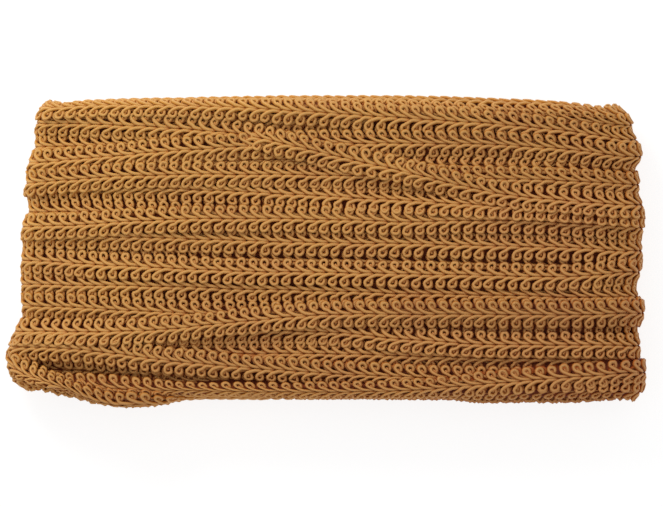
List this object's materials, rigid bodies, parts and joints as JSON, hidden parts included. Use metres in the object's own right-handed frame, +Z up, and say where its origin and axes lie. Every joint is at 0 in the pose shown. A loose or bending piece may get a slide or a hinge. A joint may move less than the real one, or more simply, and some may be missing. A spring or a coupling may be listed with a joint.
{
  "type": "decorative ribbon",
  "caption": "Flat-wound pack of scroll gimp braid, a narrow looped cord trimming wound lengthwise in ridged, overlapping turns with one slack turn at a corner.",
  "frame": {"origin": "centre of the pack's bounding box, at the level of the table it lies on", "axes": "+X along the turns, +Y across the turns, +Z up out of the upper face"},
  "size_m": [0.229, 0.1117, 0.0273],
  "materials": {
    "braid": "matt rayon cord, mustard gold, dark between the turns"
  },
  "bodies": {
    "root": {"wound_braid": "braid"}
  },
  "joints": []
}
